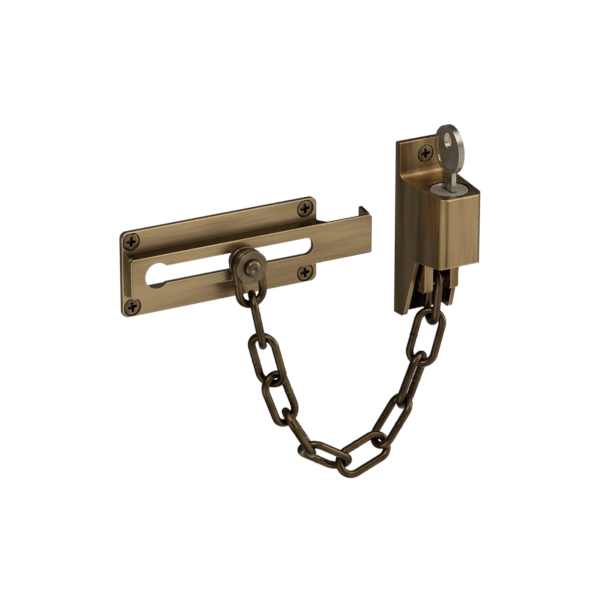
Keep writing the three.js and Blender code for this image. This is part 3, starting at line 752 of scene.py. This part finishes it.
def build_plug():
    """Turning plug with a rimmed face, a keyway and a slot for each wafer."""
    centre = (LOCK_X, AXIS_Y, 0)
    low, high = box_mm("cylinder_plug")
    top, bottom, head = high[2], low[2], (high[0] - low[0]) / 2
    profile = [
        (0, bottom), (PLUG_RADIUS - 0.2, bottom), (PLUG_RADIUS, bottom + 0.2), (PLUG_RADIUS, top - 1.0),
        (head - 0.1, top - 1.0), (head, top - 0.8), (head, top - 0.15), (head - 0.2, top),
        (head - 0.75, top), (head - 0.95, top - 0.2), (head - 1.2, top - 0.22), (0, top - 0.22)]
    plug = lathe("plug", profile, "Z", centre, 96)
    reach = np.array([KEYWAY_HALF, KEYWAY_REACH])
    near, far = np.array([LOCK_X, AXIS_Y]) - reach, np.array([LOCK_X, AXIS_Y]) + reach
    cut(plug, block("keyway", (*near, 0), (*far, top + 2)))
    for node in WAFERS:
        z = middle(node)[2]
        low = (LOCK_X - WAFER_SLOT_HALF, AXIS_Y - 9, z - WAFER_SLOT_RISE)
        high = (LOCK_X + WAFER_SLOT_HALF, AXIS_Y + 9, z + WAFER_SLOT_RISE)
        cut(plug, block("wafer_slot", low, high))
    cut(plug, lathe("screw_hole", [(1.5, bottom - 2), (1.5, bottom + 2.6)], "Z", centre, 24))
    soften(plug, 0.08, 2, 40)
    place(plug, "cylinder_plug", face_nickel)


def build_cam_screw():
    low, high = box_mm("cam_screw")
    bottom, seat = low[2], low[2] + 1.6
    profile = [(0, bottom), (1.9, bottom), (2.5, bottom + 0.25), (2.8, bottom + 0.7), (2.8, seat),
               (1.2, seat), (1.2, high[2]), (0, high[2])]
    bolt = lathe("cam_bolt", profile, "Z", (LOCK_X, AXIS_Y, 0), 40)
    place(smooth(bolt), "cam_screw", plain_steel)


def finish_cad_nodes():
    """The clip, the cam and the wafers show their CAD shape with a finish of their own."""
    finishes = {"cylinder_clip": plain_steel, "lock_cam": plain_steel}
    finishes.update({node: wafer_brass for node in WAFERS})
    for node, finish in finishes.items():
        frame["nodes"][node].data.materials.clear()
        frame["nodes"][node].data.materials.append(finish)


BOW_HALF_HEIGHT, BOW_RIM, BLADE_HALF = 9.8, 1.5, 0.95
BLADE_REACH, BLADE_TOP, CUT_DEPTH = 3.65, 27, 1.2
MILL_DEPTH, MILL_BOTTOM, MILL_TOP = 0.5, -1, 23.5
KEY_HOLE = {"from_top": 6.1, "half_wide": 2.6, "half_high": 3.1}


def key_blade(tip):
    """Outline of the blade in Y and Z: cuts along the back edge, one to a wafer, and a pointed tip."""
    back, front = AXIS_Y - BLADE_REACH, AXIS_Y + BLADE_REACH
    outline = [(back, BLADE_TOP)]
    for i, node in enumerate(WAFERS):
        z, depth = middle(node)[2], CUT_DEPTH * (0.6 if i % 2 else 1)
        outline += [(back, z + 1.6), (back + depth, z + 0.6), (back + depth, z - 0.6), (back, z - 1.6)]
    return outline + [(AXIS_Y - 0.8, tip), (AXIS_Y + 0.8, tip), (front, tip + 1.6), (front, BLADE_TOP)]


def milling(start, end, side):
    """A groove down one side of the blade, between two Y offsets from the lock's axis."""
    outline = [(AXIS_Y + y, z) for y, z in (
        (start, MILL_BOTTOM), (end, MILL_BOTTOM), (end, MILL_TOP), (start, MILL_TOP))]
    surface = LOCK_X + side * BLADE_HALF
    reach = sorted((surface + side, surface - side * MILL_DEPTH))
    return prism("mill", outline, "X", *reach)


def build_key():
    low, high = box_mm("key")
    half_rim, bow_y = (high[0] - low[0]) / 2, (high[1] - low[1]) / 2
    middle_z = high[2] - BOW_HALF_HEIGHT
    outline = oval((AXIS_Y, middle_z), (bow_y, BOW_HALF_HEIGHT), 96)
    body = prism("key_bow", outline, "X", LOCK_X - half_rim, LOCK_X + half_rim)
    for side in (-1, 1):
        reach = sorted((LOCK_X + side * BLADE_HALF, LOCK_X + side * (half_rim + 1)))
        outline = oval((AXIS_Y, middle_z), (bow_y - BOW_RIM, BOW_HALF_HEIGHT - BOW_RIM), 80)
        cut(body, prism("dish", outline, "X", *reach))
    join(body, prism("blade", key_blade(low[2]), "X", LOCK_X - BLADE_HALF, LOCK_X + BLADE_HALF))
    cut(body, milling(0.2, 1.6, -1), milling(-1.6, -0.3, 1))
    hole = oval((AXIS_Y, high[2] - KEY_HOLE["from_top"]), (KEY_HOLE["half_wide"], KEY_HOLE["half_high"]), 56)
    cut(body, prism("hole", hole, "X", LOCK_X - 3, LOCK_X + 3))
    soften(body, 0.22, 3, 40)
    place(body, "key", key_nickel)


# ---- studio ------------------------------------------------------------------------------
# Soft lights of the room: direction, cosines where each is full and where it ends, strength.
ROOM_LIGHTS = (
    ((0.45, -0.8, -0.35), 0.98, 0.6, 0.53),
    ((0.45, -0.35, 0.82), 0.98, 0.86, 1.35),
    ((-0.82, -0.42, -0.35), 0.98, 0.8, 0.9),
    ((0.45, 0.3, -0.85), 0.97, 0.75, 0.8),
    ((0.98, -0.2, 0.1), 0.97, 0.75, 0.5),
    ((-0.5, 0.8, -0.35), 0.97, 0.7, 0.05),
    ((-0.3, -0.5, 0.8), 0.95, 0.6, 0.15))
ROOM_DIM = 0.075
CAMERA = {"azimuth": -28.65, "elevation": 22.02, "distance": 1.4247, "lens": 216, "sensor": 36}
CAMERA_TARGET = Vector((0.03697, 0, -0.02583))
FLOOR_LEVEL, FLOOR_NEAR, FLOOR_FAR = -300, -900, 3000


def build_floor():
    near, far, level = FLOOR_NEAR, FLOOR_FAR, FLOOR_LEVEL
    corners = [(near, near, level), (far, near, level), (far, far, level), (near, far, level)]
    floor = add_object("floor", corners, [(0, 1, 2, 3)])
    material = bpy.data.materials.new("white_floor")
    n = Nodes(material)
    glow = n.add("ShaderNodeEmission")
    glow.inputs[0].default_value = (1, 1, 1, 1)
    glow.inputs[1].default_value = 1.0
    n.tree.links.new(glow.outputs[0], n.add("ShaderNodeOutputMaterial").inputs[0])
    floor.data.materials.append(material)
    floor.visible_glossy = False  # the brass mirrors the dim room, not the paper under it


def build_world():
    """A dim room with broad soft lights in a few directions."""
    world = bpy.data.worlds.new("studio")
    bpy.context.scene.world = world
    n = Nodes(world)
    direction = n.add("ShaderNodeTexCoord").outputs["Generated"]
    total = ROOM_DIM
    for aim, full, end, strength in ROOM_LIGHTS:
        dot = n.add("ShaderNodeVectorMath", operation="DOT_PRODUCT")
        n.feed(dot.inputs[0], direction)
        dot.inputs[1].default_value = Vector(aim).normalized()
        total = n.maths("ADD", total, n.span(dot.outputs["Value"], end, full, 0, strength))
    background = n.add("ShaderNodeBackground")
    background.inputs[0].default_value = (1, 0.99, 0.97, 1)
    n.feed(background.inputs[1], total)
    n.tree.links.new(background.outputs[0], n.add("ShaderNodeOutputWorld").inputs[0])


def add_softbox(name, direction, size, power):
    light = bpy.data.lights.new(name, "AREA")
    light.shape = "RECTANGLE"
    light.size, light.size_y = size
    light.energy = power
    obj = bpy.data.objects.new(name, light)
    away = Vector(direction).normalized()
    obj.location = CAMERA_TARGET + away * 1.2
    obj.rotation_euler = away.to_track_quat("Z", "Y").to_euler()
    bpy.context.collection.objects.link(obj)


def build_camera():
    azimuth, elevation = math.radians(CAMERA["azimuth"]), math.radians(CAMERA["elevation"])
    back = Vector((math.sin(azimuth) * math.cos(elevation), -math.cos(azimuth) * math.cos(elevation),
                   math.sin(elevation)))
    data = bpy.data.cameras.new("camera")
    data.sensor_width = CAMERA["sensor"]
    data.lens = CAMERA["lens"]
    data.clip_start, data.clip_end = 0.05, 20
    camera = bpy.data.objects.new("camera", data)
    camera.location = CAMERA_TARGET + back * CAMERA["distance"]
    camera.rotation_euler = back.to_track_quat("Z", "Y").to_euler()
    bpy.context.collection.objects.link(camera)
    bpy.context.scene.camera = camera


build_track()
for screw_name, screw_turn in SCREW_TURNS.items():
    build_screw(screw_name, screw_turn)
build_button()
for link_number in range(1, 12):
    build_link(f"link_{link_number:02d}", link_number)
build_housing()
build_backplate()
build_yoke()
build_pin()
build_barrel()
build_plug()
build_cam_screw()
finish_cad_nodes()
build_key()
build_floor()
build_world()
build_camera()
add_softbox("key_light", (-0.35, -0.6, 0.8), (0.5, 0.5), 3)
add_softbox("side_light", (0.9, -0.45, 0.25), (0.3, 0.7), 3)
bpy.context.scene.view_settings.view_transform = "Standard"
